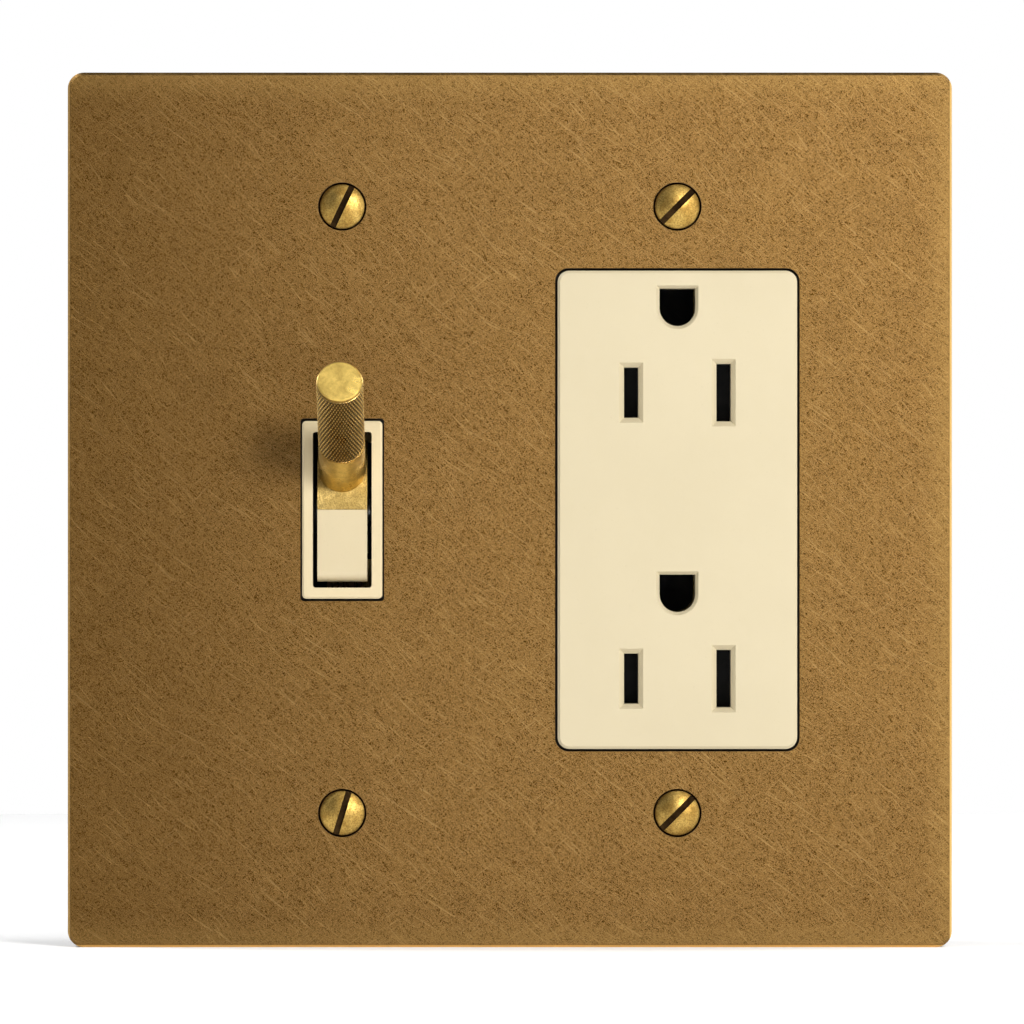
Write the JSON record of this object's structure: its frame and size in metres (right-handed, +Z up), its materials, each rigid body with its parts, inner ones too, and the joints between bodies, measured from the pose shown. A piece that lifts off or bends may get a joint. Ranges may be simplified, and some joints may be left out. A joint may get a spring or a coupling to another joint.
{
  "type": "two-gang toggle switch and receptacle",
  "caption": "Square antique-brass wall plate with a knurled brass toggle switch on the left and an ivory tamper-resistant receptacle on the right.",
  "frame": {"origin": "centre of the wall plate, on the wall plane that its rear rim rests on", "axes": "+X right, +Y into the wall, +Z up, as seen by someone facing the plate; the front faces -Y"},
  "size_m": [0.1216, 0.0528, 0.1202],
  "materials": {
    "plate_brass": "aged antique brass, finely scratched and mottled",
    "screw_brass": "bright satin brass",
    "lever_brass": "bright satin brass",
    "grip_brass": "diamond knurled brass",
    "ivory": "smooth ivory thermoset, soft sheen",
    "body_dark": "dark moulded phenolic",
    "shutter_black": "black moulded nylon",
    "zinc_steel": "zinc plated",
    "spring_steel": "drawn wire",
    "contact_brass": "stamped strip",
    "contact_copper": "copper alloy strip",
    "contact_silver": "silver alloy button",
    "nickel": "nickel plated strip",
    "green_steel": "green dyed zinc plate",
    "fibre": "red vulcanised fibre",
    "plunger_plastic": "natural acetal"
  },
  "bodies": {
    "wall_unit": {"faceplate": "plate_brass", "faceplate_screws": "screw_brass", "captive_washers": "fibre", "switch_strap": "zinc_steel", "switch_front_cover": "ivory", "switch_housing": "body_dark", "pivot_pin": "zinc_steel", "common_terminal": "contact_brass", "fixed_contact_terminal": "contact_brass", "fixed_contact": "contact_silver", "switch_terminal_screws": "contact_brass", "switch_ground_screw": "green_steel", "switch_rivets": "zinc_steel", "receptacle_face": "ivory", "receptacle_strap": "zinc_steel", "receptacle_base": "body_dark", "shutter_deck": "shutter_black", "upper_shutter_spring": "spring_steel", "lower_shutter_spring": "spring_steel", "hot_bus": "contact_brass", "neutral_bus": "nickel", "ground_bus": "contact_brass", "hot_terminal_screws": "contact_brass", "neutral_terminal_screws": "nickel", "receptacle_ground_screw": "green_steel", "receptacle_tie_screws": "zinc_steel"},
    "lever": {"rocker": "ivory", "lever_crown": "lever_brass", "lever_neck": "lever_brass", "lever_grip": "grip_brass", "lever_end_cap": "lever_brass", "lever_stud": "zinc_steel", "snap_spring": "spring_steel", "snap_plunger": "plunger_plastic"},
    "contact_see_saw": {"contact_arm": "contact_copper", "moving_contact": "contact_silver"},
    "upper_shutter_slider": {"upper_shutter": "shutter_black"},
    "lower_shutter_slider": {"lower_shutter": "shutter_black"}
  },
  "joints": [
    {"name": "lever_tilt", "type": "hinge", "parent": "wall_unit", "child": "lever", "pos_m": [-0.02302, 0.0076, 0], "axis": [1, 0, 0], "range_deg": [0, 56]},
    {"name": "arm_tilt", "type": "hinge", "parent": "wall_unit", "child": "contact_see_saw", "pos_m": [-0.02302, 0.0198, 0], "axis": [1, 0, 0], "range_deg": [-12, 0]},
    {"name": "upper_shutter_slide", "type": "slide", "parent": "wall_unit", "child": "upper_shutter_slider", "axis": [1, 0, 0], "range_m": [0, 0.003], "stiffness_N_per_m": 60, "springref_m": -0.002, "deforming": ["upper_shutter_spring"]},
    {"name": "lower_shutter_slide", "type": "slide", "parent": "wall_unit", "child": "lower_shutter_slider", "axis": [1, 0, 0], "range_m": [0, 0.003], "stiffness_N_per_m": 60, "springref_m": -0.002, "deforming": ["lower_shutter_spring"]}
  ],
  "couplings": [
    {"joint": "arm_tilt", "follows": "lever_tilt", "ratio": -0.21429}
  ]
}
